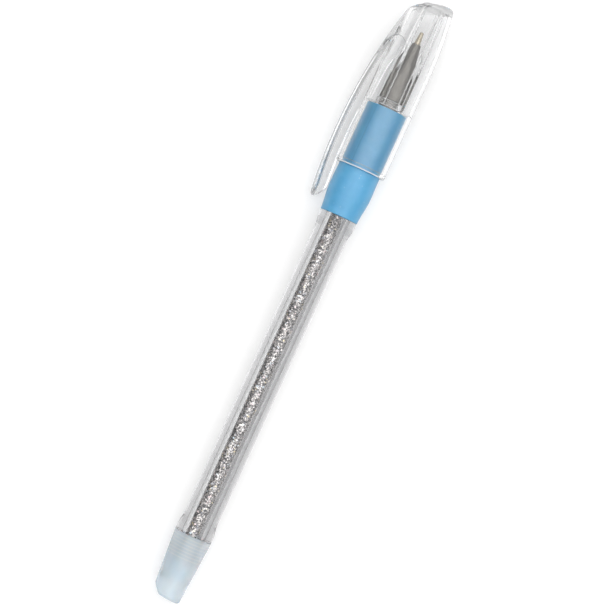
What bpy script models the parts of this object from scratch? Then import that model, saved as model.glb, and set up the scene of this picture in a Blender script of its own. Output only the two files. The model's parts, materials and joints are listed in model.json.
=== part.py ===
"""A capped stick ballpoint pen that lies on a table on its cap, its clip and its rear end.

Every piece is built along the pen's own axis: +X runs from the rear plug to the top of the cap, +Y points
to the clip and +Z to the side. One empty carries all of them and lays the pen down.
"""

import math

import bmesh
import bpy
from mathutils import Euler, Matrix, Vector

MM = 0.001

# Fits shared by all the pieces
FIT = 0.05 * MM
REFILL_PLAY = 0.4 * MM
CAP_PLAY = 0.4 * MM
LIP_PLAY = 0.1 * MM
BALL_PLAY = 0.03 * MM

# Lengths along the axis, each from the end of the one before
PLUG_LENGTH = 15.7 * MM
BARREL_SHOWN = 79.3 * MM
GRIP_SHOWN = 11.5 * MM
GRIP_HIDDEN = 15.0 * MM
COLLAR_LENGTH = 2.0 * MM
CONE_LENGTH = 14.1 * MM
POINT_SHOWN = 3.1 * MM
CAP_HEADROOM = 5.8 * MM

# Refill
TUBE_RADIUS = 1.525 * MM
TUBE_WALL = 0.45 * MM
TUBE_END_GAP = 2.0 * MM
INK_GAP = 4.0 * MM
HOLDER_REACH = 1.8 * MM
HOLDER_COLLAR = 4.5 * MM
HOLDER_SPIGOT = 3.0 * MM
INK_CHANNEL = 0.22 * MM
POINT_RADIUS = 0.75 * MM
POINT_SHANK = 3.0 * MM
BALL_RADIUS = 0.35 * MM
BALL_LIP = 0.2 * MM
LIP_WALL = 0.08 * MM

# Barrel and plug
BARREL_WALL = 2.115 * MM
FLARE_RISE = 0.41 * MM
FLARE_FLAT = 1.6 * MM
FLARE_TAPER = 2.2 * MM
SPIGOT_WALL = 1.0 * MM
SPIGOT_LENGTH = 6.1 * MM
RIB_COUNT = 7
RIB_HEIGHT = 0.17 * MM
NECK_WALL = 0.9 * MM
SOCKET_DEPTH = 8.0 * MM
PLUG_DRAFT = 0.9 * MM
PLUG_CORE_STEP = 0.8 * MM
PLUG_END_WALL = 4.5 * MM
PLUG_TILT = math.radians(7.0)
PLUG_CHAMFER = 2.8 * MM
PLUG_CHAMFER_TILT = math.radians(48.0)
PLUG_ROUND = 0.7 * MM
PLUG_TURN = math.radians(22.5)

# Grip sleeve
GRIP_WALL = 1.4 * MM
GRIP_SHOULDER = 0.2 * MM
GRIP_CROWN = 0.3 * MM
GRIP_WAIST = 0.23 * MM
GRIP_CROWN_AT = 6.3 * MM

# Nose cone
CONE_SLIP = 0.15 * MM
CONE_WALL = 0.675 * MM
CONE_FLANGE = 0.6 * MM
CONE_STRAIGHT = 6.0 * MM
CONE_DRAFT = 0.2 * MM
CONE_MOUTH_WALL = 0.25 * MM

# Cap
CAP_WALL = 0.85 * MM
CAP_TOP_WALL = 0.85 * MM
CAP_LIP = 1.0 * MM
CAP_TAPER_AT = 24.0 * MM
CAP_SIDE_ARC = 110.0 * MM
CAP_TOP_ARC = 12.5 * MM
CAP_TOP_SHIFT = 3.8 * MM
CAP_EDGE = 0.7 * MM
CAP_RECESS = 0.1 * MM
CAP_RELIEF = 0.3 * MM
CAP_LEAD = 0.15 * MM
CAP_RIBS = 6
CAP_RIB_THICKNESS = 0.6 * MM
CAP_RIB_PLAY = 0.1 * MM
GATE_RADIUS = 1.35 * MM
GATE_HEIGHT = 0.45 * MM
GATE_AT = 1.7 * MM

# Clip
CLIP_GAP = 1.67 * MM
CLIP_THICKNESS = 2.05 * MM
CLIP_CREST_AT = 7.0 * MM
CLIP_REACH = 9.4 * MM
CLIP_ROOF_ARC = 3.2 * MM
CLIP_ROOF_DROP = 10.4 * MM
CLIP_HALF_ROOT = 2.9 * MM
CLIP_HALF_TIP = 2.25 * MM
CLIP_ROUND = 4.5 * MM
CLIP_LEAD = 3.7 * MM
CLIP_EDGE = 0.4 * MM
CLIP_CLEARANCE = 0.4 * MM
CLIP_POCKET_DIP = 0.0001 * MM

# Facets
ROUND_STEPS = 48
SMALL_STEPS = 32

# Places along the axis that follow from the lengths
PLUG_FACE = PLUG_LENGTH
GRIP_REAR = PLUG_FACE + BARREL_SHOWN
CAP_MOUTH = GRIP_REAR + GRIP_SHOWN
GRIP_FRONT = CAP_MOUTH + GRIP_HIDDEN
COLLAR_FACE = GRIP_FRONT + COLLAR_LENGTH
CONE_FRONT = COLLAR_FACE + CONE_LENGTH
BALL_TIP = CONE_FRONT + POINT_SHOWN
BALL_AT = BALL_TIP - BALL_RADIUS
HOLDER_FRONT = COLLAR_FACE + CONE_STRAIGHT + HOLDER_REACH
TUBE_FRONT = HOLDER_FRONT - HOLDER_COLLAR
TUBE_REAR = PLUG_FACE - SPIGOT_LENGTH + TUBE_END_GAP
CLIP_CREST = CAP_MOUTH + CLIP_CREST_AT
CLIP_TIP = CAP_MOUTH - CLIP_REACH
CAP_TAPER = CAP_MOUTH + CAP_TAPER_AT

# Radii that follow from what has to fit
TUBE_BORE = TUBE_RADIUS - TUBE_WALL
BARREL_BORE = TUBE_RADIUS + REFILL_PLAY
BARREL_RADIUS = BARREL_BORE + BARREL_WALL
FLARE_RADIUS = BARREL_RADIUS + FLARE_RISE
SPIGOT_RADIUS = BARREL_BORE + SPIGOT_WALL
PLUG_SOCKET = SPIGOT_RADIUS + RIB_HEIGHT + FIT
CONE_BORE = TUBE_RADIUS + CONE_SLIP
CONE_SHANK = CONE_BORE + CONE_WALL
CONE_BASE = CONE_SHANK + CONE_FLANGE
CONE_MOUTH = POINT_RADIUS + FIT + CONE_MOUTH_WALL
SOCKET_RADIUS = CONE_SHANK + FIT
NECK_RADIUS = SOCKET_RADIUS + NECK_WALL
GRIP_BORE = NECK_RADIUS + FIT
GRIP_RADIUS = GRIP_BORE + GRIP_WALL
CROWN_RADIUS = GRIP_RADIUS + GRIP_CROWN
LIP_RADIUS = GRIP_RADIUS + LIP_PLAY
CAP_BORE = GRIP_RADIUS + CAP_PLAY
CAP_RADIUS = CAP_BORE + CAP_WALL
CAP_SIDE = CAP_RADIUS - CAP_RECESS
CREST_HEIGHT = CAP_RADIUS + CLIP_GAP + CLIP_THICKNESS
RIB_EDGE = NECK_RADIUS + CAP_RIB_PLAY
CLIP_FLOOR = CROWN_RADIUS + CLIP_CLEARANCE

# The top of the cap is part of a ball whose highest point stands off the axis
CAP_INNER_TOP = BALL_TIP + CAP_HEADROOM
TOP_INNER_ARC = CAP_TOP_ARC - CAP_TOP_WALL
TOP_CENTRE = CAP_INNER_TOP - math.sqrt(TOP_INNER_ARC**2 - CAP_TOP_SHIFT**2)
CAP_TOP = TOP_CENTRE + CAP_TOP_ARC
ROOF_TOP = CAP_TOP - CLIP_ROOF_DROP


def finish(name, colour, roughness, metallic=0.0, alpha=1.0, clear=0.0):
    """A plain material for one piece."""
    material = bpy.data.materials.new(name)
    material.use_nodes = True
    shader = material.node_tree.nodes["Principled BSDF"]
    shader.inputs["Base Color"].default_value = (*colour, 1.0)
    shader.inputs["Roughness"].default_value = roughness
    shader.inputs["Metallic"].default_value = metallic
    shader.inputs["Alpha"].default_value = alpha
    shader.inputs["Transmission Weight"].default_value = clear
    return material


def add_object(name, bm, carrier, material=None):
    """Make the bmesh a closed object that faces out and hangs on the carrier."""
    bmesh.ops.remove_doubles(bm, verts=bm.verts, dist=1e-7)
    bmesh.ops.recalc_face_normals(bm, faces=bm.faces)
    mesh = bpy.data.meshes.new(name)
    bm.to_mesh(mesh)
    bm.free()
    obj = bpy.data.objects.new(name, mesh)
    bpy.context.collection.objects.link(obj)
    obj.parent = carrier
    if material:
        mesh.materials.append(material)
    return obj


def arc(centre, radius, start, end, count):
    """Points on an arc, its angles in degrees from the axis."""
    points = []
    for i in range(count + 1):
        angle = math.radians(start + (end - start) * i / count)
        points.append((centre[0] + radius * math.cos(angle), centre[1] + radius * math.sin(angle)))
    return points


def swell(x0, r0, x1, r1, count):
    """Points of a smooth change of radius, level at both ends."""
    points = []
    for i in range(count + 1):
        share = i / count
        rise = (1.0 - math.cos(math.pi * share)) / 2.0
        points.append((x0 + (x1 - x0) * share, r0 + (r1 - r0) * rise))
    return points


def turned(name, outline, carrier, material=None, steps=ROUND_STEPS):
    """Spin an outline of (place, radius) about the axis. One that ends on the axis makes a solid."""
    bm = bmesh.new()
    verts = [bm.verts.new((x, r, 0.0)) for x, r in outline]
    solid = outline[0][1] == 0.0 and outline[-1][1] == 0.0
    count = len(verts) - 1 if solid else len(verts)
    for i in range(count):
        bm.edges.new((verts[i], verts[(i + 1) % len(verts)]))
    bmesh.ops.spin(
        bm,
        geom=bm.verts[:] + bm.edges[:],
        cent=(0.0, 0.0, 0.0),
        axis=(1.0, 0.0, 0.0),
        angle=math.tau,
        steps=steps,
        use_merge=True,
    )
    return add_object(name, bm, carrier, material)


def slab(name, outline, low, high, carrier, flat="XY"):
    """Extrude an outline: one drawn in XY along Z, one drawn in XZ along Y."""
    bm = bmesh.new()
    if flat == "XY":
        verts = [bm.verts.new((x, y, low)) for x, y in outline]
        shift = (0.0, 0.0, high - low)
    else:
        verts = [bm.verts.new((x, low, z)) for x, z in outline]
        shift = (0.0, high - low, 0.0)
    face = bm.faces.new(verts)
    grown = bmesh.ops.extrude_face_region(bm, geom=[face])
    moved = [item for item in grown["geom"] if isinstance(item, bmesh.types.BMVert)]
    bmesh.ops.translate(bm, verts=moved, vec=shift)
    return add_object(name, bm, carrier)


def lofted(name, section, low, top, shares, carrier, material=None, rings=0, edge=0.0, steps=ROUND_STEPS):
    """Skin from a flat end at low to the end surface top(y, z), through section(x, angle) -> (y, z)."""
    bm = bmesh.new()
    angles = [math.tau * i / steps for i in range(steps)]
    ends = []
    for angle in angles:
        x = low
        for _ in range(60):
            x = top(*section(x, angle))
        ends.append(x)
    loops = []
    for share in shares:
        loop = []
        for angle, end in zip(angles, ends):
            x = low + (end - low) * share
            loop.append(bm.verts.new((x, *section(x, angle))))
        loops.append(loop)
    rim = loops[-1]
    for ring in range(1, rings + 1):
        scale = 1.0 - ring / (rings + 1)
        loop = []
        for vert in rim:
            y, z = vert.co.y * scale, vert.co.z * scale
            loop.append(bm.verts.new((top(y, z), y, z)))
        loops.append(loop)
    for first, second in zip(loops, loops[1:]):
        for i in range(steps):
            j = (i + 1) % steps
            bm.faces.new((first[i], first[j], second[j], second[i]))
    bm.faces.new(loops[0])
    if rings:
        peak = bm.verts.new((top(0.0, 0.0), 0.0, 0.0))
        for i in range(steps):
            bm.faces.new((loops[-1][i], loops[-1][(i + 1) % steps], peak))
    else:
        bm.faces.new(loops[-1])
    if edge:
        bmesh.ops.recalc_face_normals(bm, faces=bm.faces)
        edges = [bm.edges.get(pair) for pair in zip(rim, rim[1:] + rim[:1])]
        bmesh.ops.bevel(bm, geom=edges, offset=edge, segments=3, profile=0.5, affect="EDGES")
    return add_object(name, bm, carrier, material)


def combine(target, tool, operation):
    """Cut or join with a helper, then keep only the result."""
    modifier = target.modifiers.new(tool.name, "BOOLEAN")
    modifier.object = tool
    modifier.operation = operation
    modifier.solver = "EXACT"
    graph = bpy.context.evaluated_depsgraph_get()
    result = bpy.data.meshes.new_from_object(target.evaluated_get(graph))
    target.modifiers.clear()
    target.data = result
    bpy.data.objects.remove(tool, do_unlink=True)


def circle(radius_at):
    """A round section whose radius depends on the place along the axis."""
    return lambda x, angle: (radius_at(x) * math.cos(angle), radius_at(x) * math.sin(angle))


def cap_plain(x):
    """Outer radius of the cap away from the clip."""
    past = max(0.0, x - CAP_TAPER)
    return CAP_RADIUS - CAP_SIDE_ARC + math.sqrt(CAP_SIDE_ARC**2 - past**2)


def cap_clip(x):
    """Distance from the axis to the outer line of the clip."""
    return CREST_HEIGHT - CAP_SIDE_ARC + math.sqrt(CAP_SIDE_ARC**2 - (x - CLIP_CREST) ** 2)


def cap_egg(x, angle):
    """Section round on the plain side and drawn out to the clip on the other."""
    reach = cap_clip(x) if math.cos(angle) > 0.0 else cap_plain(x)
    return reach * math.cos(angle), cap_plain(x) * math.sin(angle)


def cap_end(radius):
    """End surface of the cap: part of a ball about the point that the two ends share."""
    def height(y, z):
        return TOP_CENTRE + math.sqrt(max(radius**2 - (y + CAP_TOP_SHIFT) ** 2 - z**2, 0.0))

    return height


def build_barrel(pen):
    """Clear tube: ribbed spigot, flared rear, flared front, neck for the grip and a collar."""
    clear = finish("clear_plastic", (0.9, 0.93, 0.95), 0.05, alpha=0.35, clear=1.0)
    rear = PLUG_FACE - SPIGOT_LENGTH
    pitch = (SPIGOT_LENGTH - FIT) / (RIB_COUNT + 1)
    outline = [(rear, BARREL_BORE), (rear, SPIGOT_RADIUS)]
    for i in range(RIB_COUNT):
        middle = rear + pitch * (i + 0.75)
        outline.append((middle - pitch * 0.4, SPIGOT_RADIUS))
        outline.append((middle, SPIGOT_RADIUS + RIB_HEIGHT))
        outline.append((middle + pitch * 0.4, SPIGOT_RADIUS))
    flat = PLUG_FACE + FIT + FLARE_FLAT
    front = GRIP_REAR - FIT
    outline += [(PLUG_FACE + FIT, SPIGOT_RADIUS), (PLUG_FACE + FIT, FLARE_RADIUS)]
    outline += swell(flat, FLARE_RADIUS, flat + FLARE_TAPER, BARREL_RADIUS, 5)
    outline += swell(front - FLARE_FLAT - FLARE_TAPER, BARREL_RADIUS, front - FLARE_FLAT, FLARE_RADIUS, 5)
    outline += [(front, FLARE_RADIUS), (front, NECK_RADIUS)]
    outline += [(COLLAR_FACE, NECK_RADIUS), (COLLAR_FACE, SOCKET_RADIUS)]
    outline += [(COLLAR_FACE - SOCKET_DEPTH, SOCKET_RADIUS), (COLLAR_FACE - SOCKET_DEPTH, BARREL_BORE)]
    return turned("barrel", outline, pen, clear)


def build_grip(pen):
    """Rubber sleeve: bulged where it is held, stepped for the cap, plain in front."""
    rubber = finish("blue_rubber", (0.08, 0.4, 0.72), 0.55)
    crown = GRIP_REAR + GRIP_CROWN_AT
    shoulder = CAP_MOUTH - FIT
    waist = GRIP_RADIUS - GRIP_WAIST
    outline = [(GRIP_REAR, GRIP_BORE)]
    outline += swell(GRIP_REAR, waist, crown, CROWN_RADIUS, 8)
    outline += swell(crown, CROWN_RADIUS, shoulder, GRIP_RADIUS + GRIP_SHOULDER, 5)[1:]
    outline += [(shoulder, GRIP_RADIUS), (GRIP_FRONT, GRIP_RADIUS), (GRIP_FRONT, GRIP_BORE)]
    return turned("grip_sleeve", outline, pen, rubber)


def build_cone(pen):
    """Metal cone with a shank behind its flange and a small mouth for the point."""
    metal = finish("satin_nickel", (0.55, 0.52, 0.47), 0.3, metallic=1.0)
    flange = COLLAR_FACE + FIT
    straight = flange + CONE_STRAIGHT
    rear = COLLAR_FACE - SOCKET_DEPTH + FIT
    taper = CONE_FRONT - straight
    waist = CONE_BASE - CONE_DRAFT
    outline = [(rear, CONE_BORE), (rear, CONE_SHANK), (flange, CONE_SHANK), (flange, CONE_BASE)]
    outline.append((straight, waist))
    for i in range(1, 8):
        share = i / 7
        bend = share * (1.6 - 0.6 * share)
        outline.append((straight + taper * share, waist + (CONE_MOUTH - waist) * bend))
    mouth = POINT_RADIUS + FIT
    outline += [(CONE_FRONT, mouth), (HOLDER_FRONT + FIT, mouth), (HOLDER_FRONT + FIT, CONE_BORE)]
    return turned("nose_cone", outline, pen, metal)


def build_refill(pen):
    """Tube, ink, holder, point and ball, each seated in the one before it."""
    glitter = finish("glitter_tube", (0.72, 0.74, 0.76), 0.25, metallic=0.8)
    ink = finish("ink", (0.01, 0.03, 0.2), 0.4)
    white = finish("white_plastic", (0.8, 0.8, 0.78), 0.4)
    brass = finish("gold_metal", (0.75, 0.58, 0.28), 0.25, metallic=1.0)
    carbide = finish("carbide", (0.5, 0.5, 0.52), 0.15, metallic=1.0)

    outline = [(TUBE_REAR, TUBE_BORE), (TUBE_REAR, TUBE_RADIUS)]
    outline += [(TUBE_FRONT, TUBE_RADIUS), (TUBE_FRONT, TUBE_BORE)]
    turned("ink_tube", outline, pen, glitter, SMALL_STEPS)

    spigot = TUBE_FRONT - HOLDER_SPIGOT
    column = TUBE_BORE - FIT
    outline = [(TUBE_REAR + INK_GAP, 0.0), (TUBE_REAR + INK_GAP, column)]
    outline += [(spigot - FIT, column), (spigot - FIT, 0.0)]
    turned("ink_column", outline, pen, ink, SMALL_STEPS)

    shank = HOLDER_FRONT - POINT_SHANK
    outline = [(spigot, INK_CHANNEL), (spigot, column), (TUBE_FRONT + FIT, column)]
    outline += [(TUBE_FRONT + FIT, TUBE_RADIUS), (HOLDER_FRONT, TUBE_RADIUS)]
    outline += [(HOLDER_FRONT, POINT_RADIUS + FIT), (shank - FIT, POINT_RADIUS + FIT)]
    outline.append((shank - FIT, INK_CHANNEL))
    turned("tip_holder", outline, pen, white, SMALL_STEPS)

    cup = BALL_RADIUS + BALL_PLAY
    lip = BALL_AT + BALL_LIP
    lip_bore = math.sqrt(cup**2 - BALL_LIP**2)
    floor = BALL_AT - math.sqrt(cup**2 - INK_CHANNEL**2)
    outline = [(shank, INK_CHANNEL), (shank, POINT_RADIUS), (CONE_FRONT + FIT, POINT_RADIUS)]
    outline += [(BALL_AT, cup + LIP_WALL), (lip, lip_bore + LIP_WALL)]
    first = math.degrees(math.atan2(lip_bore, BALL_LIP))
    last = math.degrees(math.atan2(INK_CHANNEL, floor - BALL_AT))
    outline += arc((BALL_AT, 0.0), cup, first, last, 8)
    turned("point_body", outline, pen, brass, SMALL_STEPS)

    bm = bmesh.new()
    bmesh.ops.create_uvsphere(bm, u_segments=24, v_segments=16, radius=BALL_RADIUS)
    ball = add_object("writing_ball", bm, pen, carbide)
    ball.location = (BALL_AT, 0.0, 0.0)
    return ball


def build_plug(pen):
    """Tapered plug with a stepped socket, a nearly flat end and one broad chamfer."""
    milky = finish("milky_blue", (0.6, 0.74, 0.84), 0.3, alpha=0.7)
    front = PLUG_FACE
    rear_radius = FLARE_RADIUS - PLUG_DRAFT
    draft = PLUG_DRAFT / (PLUG_LENGTH - PLUG_CHAMFER)
    section = circle(lambda x: FLARE_RADIUS - draft * (front - x))

    def end(y, z):
        return (y + rear_radius) * math.tan(PLUG_TILT)

    shares = (0.0, 0.35, 0.7, 1.0)
    plug = lofted("end_plug", section, front, end, shares, pen, milky, edge=PLUG_ROUND)

    corner = Vector((PLUG_CHAMFER, rear_radius, 0.0))
    along = Vector((-math.sin(PLUG_CHAMFER_TILT), -math.cos(PLUG_CHAMFER_TILT), 0.0))
    away = Vector((-math.cos(PLUG_CHAMFER_TILT), math.sin(PLUG_CHAMFER_TILT), 0.0))
    span = 3.0 * FLARE_RADIUS
    near = (corner - along * span, corner + along * span)
    beyond = (near[1] + away * span, near[0] + away * span)
    outline = [(point.x, point.y) for point in near + beyond]
    combine(plug, slab("plug_chamfer", outline, -span, span, pen), "DIFFERENCE")

    step = PLUG_FACE - SPIGOT_LENGTH - FIT
    core = PLUG_SOCKET - PLUG_CORE_STEP
    outline = [(PLUG_END_WALL, 0.0), (PLUG_END_WALL, core), (step, core), (step, PLUG_SOCKET)]
    outline += [(PLUG_FACE + span, PLUG_SOCKET), (PLUG_FACE + span, 0.0)]
    combine(plug, turned("plug_socket", outline, pen), "DIFFERENCE")
    plug.data.transform(Matrix.Rotation(PLUG_TURN, 4, "X"))
    return plug


def clip_depth(x):
    """Thickness of the clip, thinned inside towards its tip."""
    share = min(1.0, max(0.0, (CLIP_TIP + CLIP_LEAD - x) / CLIP_LEAD))
    return CLIP_EDGE + (CLIP_THICKNESS - CLIP_EDGE) * math.cos(share * math.pi / 2.0)


def clip_pocket(low):
    """Outline of the gap between clip and shell, its round roof meeting the clip's inner line."""
    lean = math.asin((ROOF_TOP - CLIP_ROOF_ARC - CLIP_CREST) / CAP_SIDE_ARC)
    meet = ROOF_TOP - CLIP_ROOF_ARC * (1.0 - math.sin(lean))
    centre_x = ROOF_TOP - CLIP_ROOF_ARC
    centre_y = cap_clip(meet) - CLIP_THICKNESS - CLIP_ROOF_ARC * math.cos(lean)
    reach = math.sqrt(CLIP_ROOF_ARC**2 - (centre_y + CLIP_POCKET_DIP) ** 2)
    start = math.degrees(math.acos(reach / CLIP_ROOF_ARC))
    outline = [(low, -CLIP_POCKET_DIP), (centre_x + reach, -CLIP_POCKET_DIP)]
    outline += arc((centre_x, centre_y), CLIP_ROOF_ARC, -start, 90.0 - math.degrees(lean), 10)[1:]
    bend = CLIP_TIP + CLIP_LEAD
    places = [meet + (bend - meet) * i / 10 for i in range(1, 11)]
    places += [bend + (CLIP_TIP - bend) * i / 6 for i in range(1, 7)] + [low]
    return outline + [(x, cap_clip(x) - clip_depth(x)) for x in places]


def clip_trim(low, root):
    """Outline of what is trimmed round the clip: round tip, slight taper, flare into the cap."""
    far = 3.0 * CAP_RADIUS
    side = []
    for i in range(9):
        angle = math.radians(90.0 * i / 8)
        x = CLIP_TIP + CLIP_ROUND * (1.0 - math.cos(angle))
        side.append((x, CLIP_HALF_TIP * math.sin(angle)))
    flare = CLIP_ROOF_ARC
    for i in range(5):
        angle = math.radians(90.0 * i / 4)
        lift = CLIP_HALF_ROOT * (1.0 - math.cos(angle)) * 0.6
        side.append((root - flare + flare * math.sin(angle), CLIP_HALF_ROOT + lift))
    side += [(root, far), (low, far)]
    return side + [(x, -z) for x, z in side[:0:-1]]


def build_cap(pen):
    """One clear moulding: egg-shaped shell, clip with a thinned tip, ribbed bore and a slanted top."""
    clear = finish("clear_cap", (0.92, 0.94, 0.96), 0.04, alpha=0.3, clear=1.0)
    low = CLIP_TIP - 2.0 * MM
    far = 3.0 * CAP_RADIUS
    shares = [i / 18 for i in range(19)]
    cap = lofted("cap", cap_egg, CLIP_TIP - MM, cap_end(CAP_TOP_ARC), shares, pen, clear, 4, CAP_EDGE)

    combine(cap, slab("clip_pocket", clip_pocket(low), -far, far, pen), "DIFFERENCE")
    edge = CAP_RADIUS + FIT
    start = CAP_MOUTH + CAP_RELIEF
    outline = [(low, -far), (start, -far), (start, edge), (low, edge)]
    combine(cap, slab("cap_mouth", outline, -far, far, pen), "DIFFERENCE")
    trim = clip_trim(low, ROOF_TOP - CLIP_ROOF_ARC)
    combine(cap, slab("clip_trim", trim, CLIP_FLOOR - FIT, far, pen, "XZ"), "DIFFERENCE")

    inside = ROOF_TOP + 0.4 * (CAP_TOP - ROOF_TOP)
    outline = [(CAP_MOUTH, 0.0)]
    outline += arc((start, CAP_SIDE - CAP_RELIEF), CAP_RELIEF, 180.0, 90.0, 3)
    outline.append((CAP_TAPER, CAP_SIDE))
    for i in range(1, 7):
        x = CAP_TAPER + (inside - CAP_TAPER) * i / 6
        outline.append((x, cap_plain(x) - CAP_RECESS))
    outline.append((inside, 0.0))
    combine(cap, turned("cap_shell", outline, pen), "UNION")

    slope = math.asin((GATE_AT + CAP_TOP_SHIFT) / CAP_TOP_ARC)
    outline = [(-MM, 0.0), (-MM, GATE_RADIUS), (GATE_HEIGHT, GATE_RADIUS * 0.9), (GATE_HEIGHT, 0.0)]
    gate = turned("gate_mark", outline, pen, None, SMALL_STEPS)
    gate.location = (cap_end(CAP_TOP_ARC)(GATE_AT, 0.0), GATE_AT, 0.0)
    gate.rotation_euler = (0.0, 0.0, slope)
    combine(cap, gate, "UNION")

    bore = circle(lambda x: cap_plain(x) - CAP_WALL)
    shares = [i / 8 for i in range(9)]
    hollow = lofted("cap_hollow", bore, CAP_MOUTH + CAP_LIP, cap_end(TOP_INNER_ARC), shares, pen, None, 3)
    half = CAP_RIB_THICKNESS / 2
    rib_start = GRIP_FRONT + CAP_PLAY
    outline = [(rib_start, RIB_EDGE), (CAP_TOP, RIB_EDGE), (CAP_TOP, far), (rib_start, far)]
    for i in range(CAP_RIBS):
        rib = slab(f"cap_rib_{i}", outline, -half, half, pen)
        rib.rotation_euler = (math.tau * (i + 0.5) / CAP_RIBS, 0.0, 0.0)
        combine(hollow, rib, "DIFFERENCE")
    combine(cap, hollow, "DIFFERENCE")

    lead = LIP_RADIUS + CAP_LEAD
    outline = [(CAP_MOUTH - MM, 0.0), (CAP_MOUTH - MM, lead), (CAP_MOUTH, lead)]
    outline += [(CAP_MOUTH + 2.0 * CAP_LEAD, LIP_RADIUS), (CAP_MOUTH + 2.0 * CAP_LIP, LIP_RADIUS)]
    outline.append((CAP_MOUTH + 2.0 * CAP_LIP, 0.0))
    combine(cap, turned("cap_lip", outline, pen), "DIFFERENCE")
    return cap


def lay_down(pen):
    """Rest the pen on the rear flare, the cap's rim and the clip, centred over the origin."""
    pitch = math.asin((CAP_SIDE - FLARE_RADIUS) / (CAP_MOUTH + CAP_RELIEF - PLUG_FACE))
    share = (CLIP_CREST - CLIP_TIP) / (ROOF_TOP - CLIP_TIP)
    half = CLIP_HALF_TIP + (CLIP_HALF_ROOT - CLIP_HALF_TIP) * share
    side = CREST_HEIGHT * math.sqrt(1.0 - (half / CAP_RADIUS) ** 2)
    height = CAP_SIDE + CLIP_CREST_AT * math.sin(pitch)
    roll = math.atan2(half, side) + math.acos(height / math.hypot(side, half)) - math.pi / 2.0
    pen.rotation_euler = Euler((roll, -pitch, 0.0), "XYZ")

    bpy.context.view_layer.update()
    graph = bpy.context.evaluated_depsgraph_get()
    corners = []
    for obj in bpy.context.collection.objects:
        if obj.type == "MESH":
            shown = obj.evaluated_get(graph)
            corners += [shown.matrix_world @ vert.co for vert in shown.data.vertices]
    low = Vector([min(p[axis] for p in corners) for axis in range(3)])
    high = Vector([max(p[axis] for p in corners) for axis in range(3)])
    pen.location = (-(low.x + high.x) / 2.0, -(low.y + high.y) / 2.0, -low.z)


def main():
    for obj in list(bpy.data.objects):
        bpy.data.objects.remove(obj, do_unlink=True)
    pen = bpy.data.objects.new("pen_axis", None)
    bpy.context.collection.objects.link(pen)
    build_barrel(pen)
    build_grip(pen)
    build_cone(pen)
    build_refill(pen)
    build_plug(pen)
    build_cap(pen)
    lay_down(pen)


main()
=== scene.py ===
"""Looks for a capped stick ballpoint pen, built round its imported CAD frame.

Pieces are drawn in millimetres along the pen's own axis: x runs from the rear plug to the top of the cap,
y points to the clip and z to the front, which faces mostly up. PEN carries them into the frame.
"""

import json
import math
import random

import bmesh
import bpy
from mathutils import Matrix, Vector


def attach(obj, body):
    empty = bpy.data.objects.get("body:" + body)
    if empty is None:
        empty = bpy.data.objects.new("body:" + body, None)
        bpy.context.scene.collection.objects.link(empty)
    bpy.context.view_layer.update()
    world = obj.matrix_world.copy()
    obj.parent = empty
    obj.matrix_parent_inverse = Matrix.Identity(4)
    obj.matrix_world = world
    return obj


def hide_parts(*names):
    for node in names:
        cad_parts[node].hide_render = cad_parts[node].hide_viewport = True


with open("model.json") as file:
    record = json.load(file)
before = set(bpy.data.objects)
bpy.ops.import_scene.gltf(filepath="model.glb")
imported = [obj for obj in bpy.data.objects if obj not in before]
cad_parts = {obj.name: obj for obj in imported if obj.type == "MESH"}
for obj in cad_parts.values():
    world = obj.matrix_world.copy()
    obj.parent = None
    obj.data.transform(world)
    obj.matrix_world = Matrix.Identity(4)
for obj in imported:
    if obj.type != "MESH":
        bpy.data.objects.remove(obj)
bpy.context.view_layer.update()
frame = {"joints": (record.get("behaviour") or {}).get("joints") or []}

MM = 0.001
FIT = 0.05

# Places along the axis
SPIGOT_REAR = 9.6
TUBE_REAR = 11.6
INK_REAR = TUBE_REAR + 4.0
PLUG_FACE = 15.7
GRIP_REAR = 95.0
CLIP_TIP = 97.1
GRIP_CREST = GRIP_REAR + 6.3
CAP_MOUTH = 106.5
CLIP_CREST = 113.5
GRIP_FRONT = 121.5
REFILL_HELD = 122.0
COLLAR_FACE = 123.5
TUBE_FRONT = 126.8
CAP_TAPER = 130.5
HOLDER_FRONT = 131.3
CONE_FRONT = 137.6
BALL_TIP = 140.7

# Barrel
BARREL_RADIUS = 4.04
BARREL_BORE = 1.925
FLARE_RADIUS = 4.45
FLARE_LEVEL = 0.8
FLARE_END = 4.4
FLARE_ROUND = 0.06
SPIGOT_RADIUS = 2.925
SPIGOT_CHAMFER = 0.1
RIB_COUNT = 7
RIB_HEIGHT = 0.17
RIB_PITCH = (PLUG_FACE - SPIGOT_REAR - FIT) / (RIB_COUNT + 1)
RIB_HALF = 0.42 * RIB_PITCH
RIB_FULLNESS = 1.4
NECK_RADIUS = 3.3
COLLAR_ROUND = 0.12
SOCKET_RADIUS = 2.4
SOCKET_DEPTH = 8.0

# Grip
GRIP_BORE = 3.35
GRIP_RADIUS = 4.75
GRIP_WAIST = 4.52
GRIP_CROWN = 5.05
GRIP_SHOULDER = 4.95
GRIP_REAR_ROUND = 0.18
GRIP_STEP_ROUND = 0.12
GRIP_FRONT_ROUND = 0.2

# Nose cone
CONE_BORE = 1.675
CONE_SHANK = 2.35
CONE_BASE = 2.95
CONE_WAIST = 2.75
CONE_MOUTH = 1.05
CONE_STRAIGHT = 6.0
CONE_BELLY = 0.6
CONE_CHAMFER = 0.1

# Plug
PLUG_SOCKET = 3.145
PLUG_CORE = PLUG_SOCKET - 0.8
PLUG_FLOOR = 4.5
PLUG_FLOOR_CHAMFER = 0.3
PLUG_DRAFT = 0.9
PLUG_TILT = math.radians(7.0)
PLUG_SLANT = math.radians(48.0)
PLUG_CHAMFER = 2.8
PLUG_ROUND = 0.7
PLUG_TURN = math.radians(22.5)

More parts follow.
